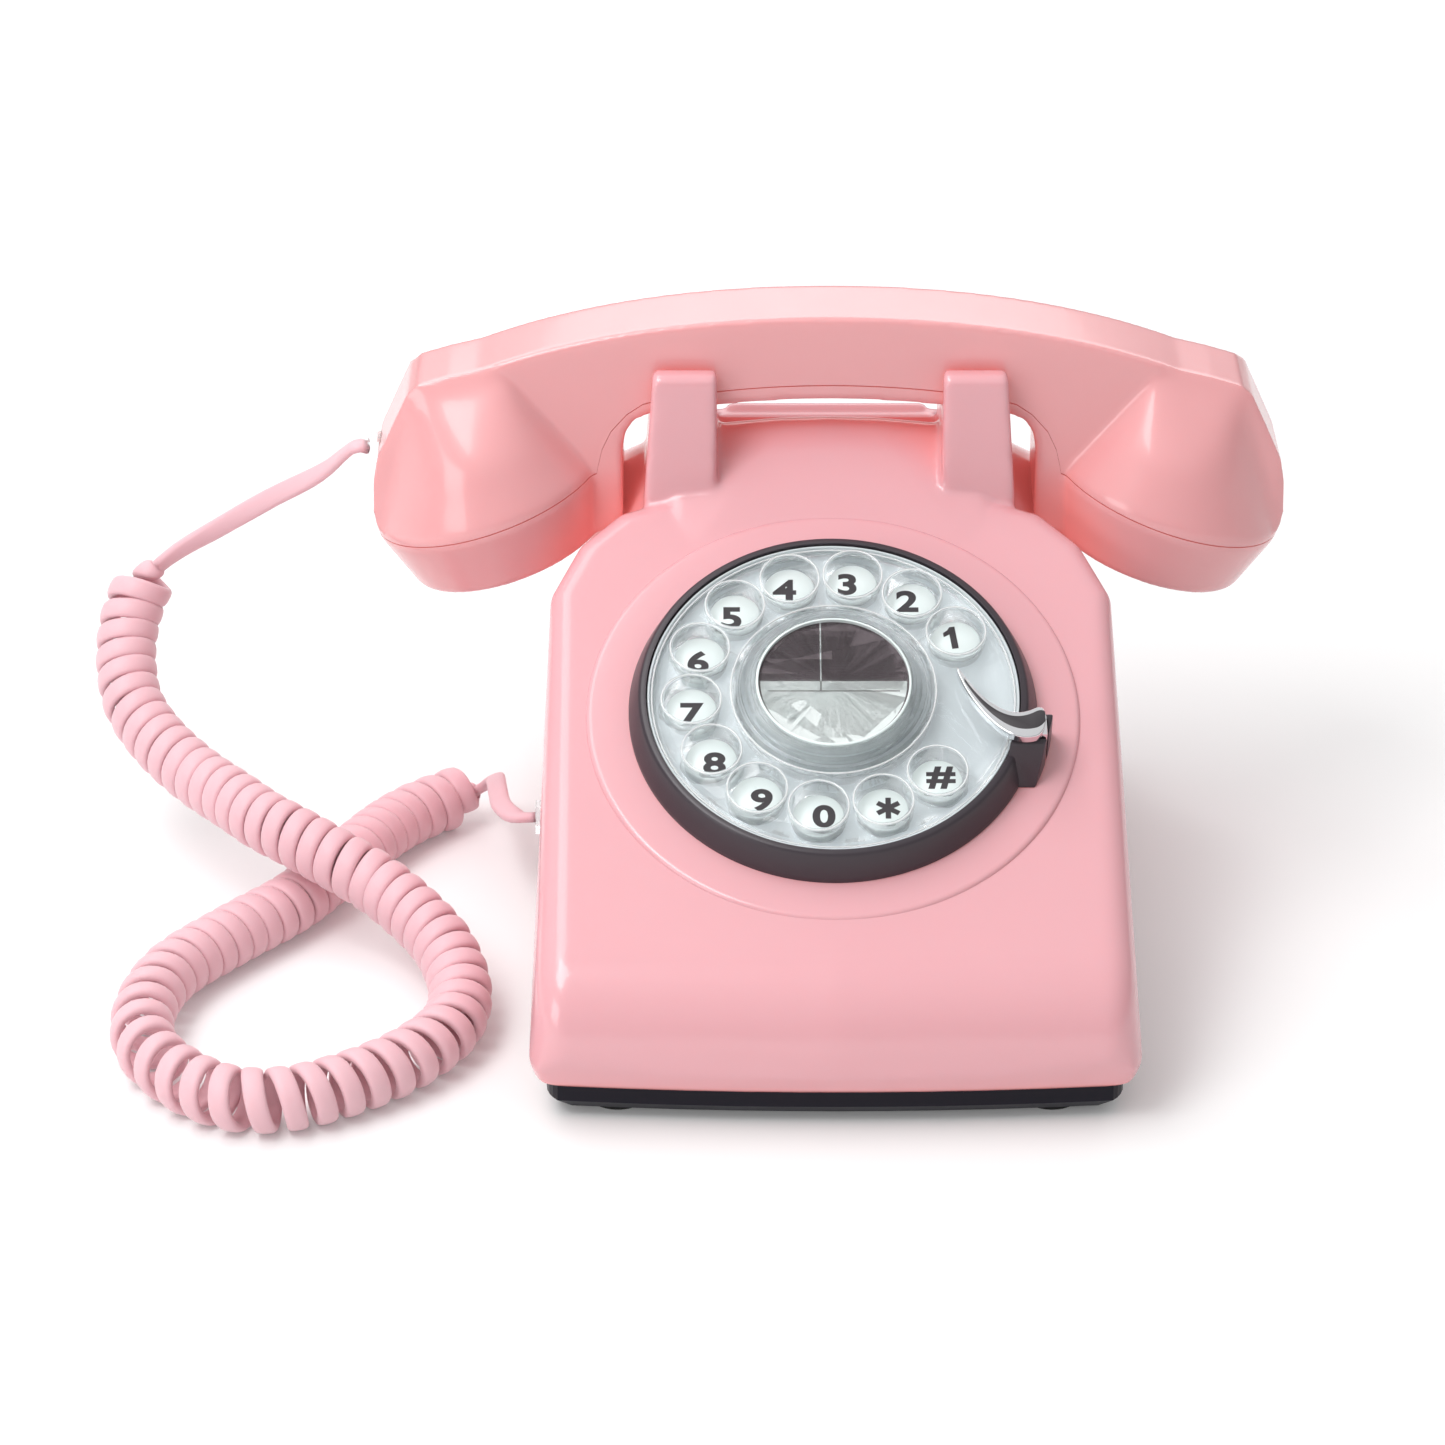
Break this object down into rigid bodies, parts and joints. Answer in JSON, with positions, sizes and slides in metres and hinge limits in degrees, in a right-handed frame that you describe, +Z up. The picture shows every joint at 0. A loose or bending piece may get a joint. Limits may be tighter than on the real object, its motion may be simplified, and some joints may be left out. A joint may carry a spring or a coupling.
{
  "type": "desk telephone",
  "caption": "Pink push-button desk telephone with a dial-look keypad, lift-off handset in a four-horn cradle and a curly handset cord.",
  "frame": {"origin": "on the table, under the middle of the telephone without its cord", "axes": "+Z up, the dial faces -Y, X=0 is the plane of symmetry of the housing and handset"},
  "size_m": [0.3059, 0.2016, 0.1491],
  "materials": {
    "pink": "polished, moulded",
    "black": "satin, moulded",
    "plate": "smooth",
    "silver": "pearl silver",
    "clear": "polished, clear",
    "chromed": "bright plated",
    "rubber_black": "matt",
    "rubber_grey": "matt",
    "steel": "zinc plated",
    "iron": "painted",
    "fibre": "lacquered board",
    "ivory": "moulded",
    "card": "printed card",
    "cord": "matt cable sheath"
  },
  "bodies": {
    "base": {"housing": "pink", "base_plate": "black", "rubber_feet": "rubber_black", "base_screws": "steel", "ballast_weight": "iron", "main_board": "fibre", "loudspeaker": "steel", "line_jack": "black", "cord_jack": "black", "dial_ring": "black", "number_plate": "silver", "finger_wheel": "clear", "key_mat": "rubber_grey", "keypad_board": "fibre", "centre_bezel": "clear", "body_plug": "clear", "cord_handset_lead": "cord", "cord_coil": "cord", "cord_body_lead": "cord"},
    "handset": {"handset_outer": "pink", "handset_inner": "pink", "receiver": "steel", "transmitter": "steel", "handset_weight": "iron", "handset_jack": "black", "handset_screws": "steel", "handset_plug": "clear"},
    "hook": {"hook_plungers": "ivory", "hook_lever": "steel"},
    "centre_button": {"centre_button": "plate", "centre_card": "card", "card_cover": "clear"},
    "finger_stop": {"finger_stop": "chromed", "finger_stop_inlay": "black"},
    "key_1": {"key_1": "silver"},
    "key_2": {"key_2": "silver"},
    "key_3": {"key_3": "silver"},
    "key_4": {"key_4": "silver"},
    "key_5": {"key_5": "silver"},
    "key_6": {"key_6": "silver"},
    "key_7": {"key_7": "silver"},
    "key_8": {"key_8": "silver"},
    "key_9": {"key_9": "silver"},
    "key_0": {"key_0": "silver"},
    "key_star": {"key_star": "silver"},
    "key_hash": {"key_hash": "silver"}
  },
  "joints": [
    {"name": "handset_lift", "type": "slide", "parent": "base", "child": "handset", "axis": [0, 0, 1], "range_m": [0, 0.06]},
    {"name": "hook_rise", "type": "slide", "parent": "base", "child": "hook", "axis": [0, 0, 1], "range_m": [0, 0.005]},
    {"name": "key_1_press", "type": "slide", "parent": "base", "child": "key_1", "axis": [0, 0.4695, -0.8829], "range_m": [0, 0.0012], "stiffness_N_per_m": 500, "springref_m": -0.0004},
    {"name": "key_2_press", "type": "slide", "parent": "base", "child": "key_2", "axis": [0, 0.4695, -0.8829], "range_m": [0, 0.0012], "stiffness_N_per_m": 500, "springref_m": -0.0004},
    {"name": "key_3_press", "type": "slide", "parent": "base", "child": "key_3", "axis": [0, 0.4695, -0.8829], "range_m": [0, 0.0012], "stiffness_N_per_m": 500, "springref_m": -0.0004},
    {"name": "key_4_press", "type": "slide", "parent": "base", "child": "key_4", "axis": [0, 0.4695, -0.8829], "range_m": [0, 0.0012], "stiffness_N_per_m": 500, "springref_m": -0.0004},
    {"name": "key_5_press", "type": "slide", "parent": "base", "child": "key_5", "axis": [0, 0.4695, -0.8829], "range_m": [0, 0.0012], "stiffness_N_per_m": 500, "springref_m": -0.0004},
    {"name": "key_6_press", "type": "slide", "parent": "base", "child": "key_6", "axis": [0, 0.4695, -0.8829], "range_m": [0, 0.0012], "stiffness_N_per_m": 500, "springref_m": -0.0004},
    {"name": "key_7_press", "type": "slide", "parent": "base", "child": "key_7", "axis": [0, 0.4695, -0.8829], "range_m": [0, 0.0012], "stiffness_N_per_m": 500, "springref_m": -0.0004},
    {"name": "key_8_press", "type": "slide", "parent": "base", "child": "key_8", "axis": [0, 0.4695, -0.8829], "range_m": [0, 0.0012], "stiffness_N_per_m": 500, "springref_m": -0.0004},
    {"name": "key_9_press", "type": "slide", "parent": "base", "child": "key_9", "axis": [0, 0.4695, -0.8829], "range_m": [0, 0.0012], "stiffness_N_per_m": 500, "springref_m": -0.0004},
    {"name": "key_0_press", "type": "slide", "parent": "base", "child": "key_0", "axis": [0, 0.4695, -0.8829], "range_m": [0, 0.0012], "stiffness_N_per_m": 500, "springref_m": -0.0004},
    {"name": "key_star_press", "type": "slide", "parent": "base", "child": "key_star", "axis": [0, 0.4695, -0.8829], "range_m": [0, 0.0012], "stiffness_N_per_m": 500, "springref_m": -0.0004},
    {"name": "key_hash_press", "type": "slide", "parent": "base", "child": "key_hash", "axis": [0, 0.4695, -0.8829], "range_m": [0, 0.0012], "stiffness_N_per_m": 500, "springref_m": -0.0004},
    {"name": "centre_button_press", "type": "slide", "parent": "base", "child": "centre_button", "axis": [0, 0.4695, -0.8829], "range_m": [0, 0.001], "stiffness_N_per_m": 600, "springref_m": -0.0006},
    {"name": "finger_stop_press", "type": "slide", "parent": "base", "child": "finger_stop", "axis": [0, 0.4695, -0.8829], "range_m": [0, 0.0005], "stiffness_N_per_m": 800, "springref_m": -0.0003}
  ],
  "couplings": [
    {"joint": "hook_rise", "follows": "handset_lift", "ratio": 0.0833}
  ]
}
